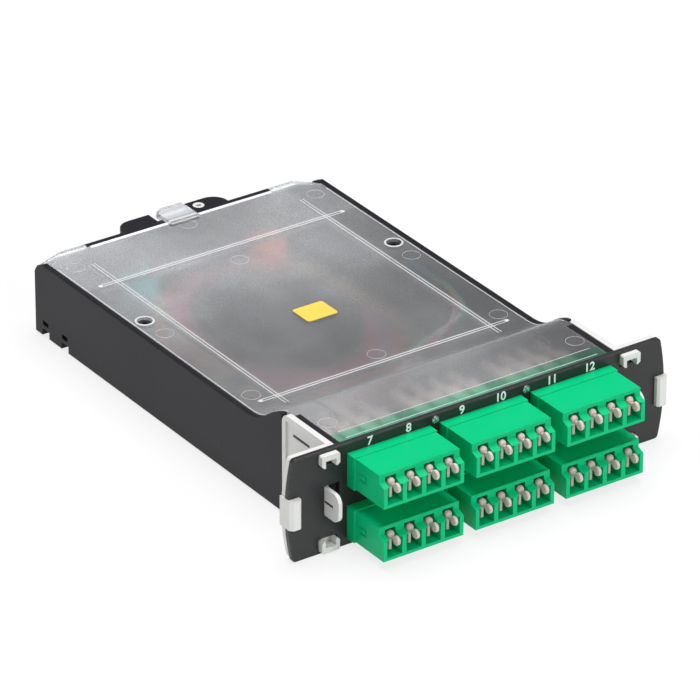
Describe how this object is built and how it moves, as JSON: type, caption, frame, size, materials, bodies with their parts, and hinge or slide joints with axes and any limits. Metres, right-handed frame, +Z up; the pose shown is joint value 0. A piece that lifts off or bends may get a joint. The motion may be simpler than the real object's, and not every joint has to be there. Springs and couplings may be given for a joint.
{
  "type": "fibre patch panel",
  "caption": "Slim black fibre patch module with a frosted lid, stacked green adapters with dust plugs, white side brackets and squeeze latches.",
  "frame": {"origin": "middle of the underside, at the lowest point of the faceplate", "axes": "+X right along the ports, +Y back from the ports to the rear wall, +Z up"},
  "size_m": [0.1256, 0.1764, 0.0313],
  "materials": {
    "black_moulding": "satin moulded plastic with fine grain",
    "frosted_sheet": "frosted clear plastic",
    "dark_screw": "blackened steel",
    "yellow_label": "matt printed film",
    "bright_stud": "bright nickel plate",
    "white_moulding": "satin white plastic",
    "green_moulding": "satin green plastic",
    "soft_clear_plug": "soft translucent plastic",
    "beige_moulding": "satin plastic",
    "aqua_moulding": "satin plastic",
    "green_fibre": "smooth jacket",
    "red_fibre": "smooth jacket",
    "blue_fibre": "smooth jacket",
    "orange_fibre": "smooth jacket"
  },
  "bodies": {
    "housing": {"adapter_lower_left": "green_moulding", "adapter_lower_middle": "green_moulding", "adapter_lower_right": "green_moulding", "adapter_upper_left": "green_moulding", "adapter_upper_middle": "green_moulding", "adapter_upper_right": "green_moulding", "bracket_left": "white_moulding", "bracket_right": "white_moulding", "dust_plugs_lower_left": "soft_clear_plug", "dust_plugs_lower_middle": "soft_clear_plug", "dust_plugs_lower_right": "soft_clear_plug", "dust_plugs_upper_left": "soft_clear_plug", "dust_plugs_upper_middle": "soft_clear_plug", "dust_plugs_upper_right": "soft_clear_plug", "faceplate": "black_moulding", "faceplate_studs": "bright_stud", "fibre_coil_blue": "blue_fibre", "fibre_coil_green": "green_fibre", "fibre_coil_orange": "orange_fibre", "fibre_coil_red": "red_fibre", "fibre_leads_left": "orange_fibre", "fibre_leads_right": "orange_fibre", "fibre_spool": "black_moulding", "inner_plugs_lower": "beige_moulding", "inner_plugs_upper": "beige_moulding", "lid": "frosted_sheet", "lid_label": "yellow_label", "lid_screws": "dark_screw", "tray": "black_moulding", "trunk_adapter_left": "black_moulding", "trunk_adapter_right": "black_moulding", "trunk_plugs": "aqua_moulding"},
    "lever_left": {"release_lever_left": "white_moulding"},
    "lever_right": {"release_lever_right": "white_moulding"}
  },
  "joints": [
    {"name": "lever_left_pivot", "type": "hinge", "parent": "housing", "child": "lever_left", "pos_m": [-0.0502, -0.05555, 0.0158], "axis": [0, 0, 1], "range_deg": [0, 6], "stiffness_Nm_per_rad": 0.06},
    {"name": "lever_right_pivot", "type": "hinge", "parent": "housing", "child": "lever_right", "pos_m": [0.0502, -0.05555, 0.0158], "axis": [0, 0, -1], "range_deg": [0, 6], "stiffness_Nm_per_rad": 0.06}
  ]
}
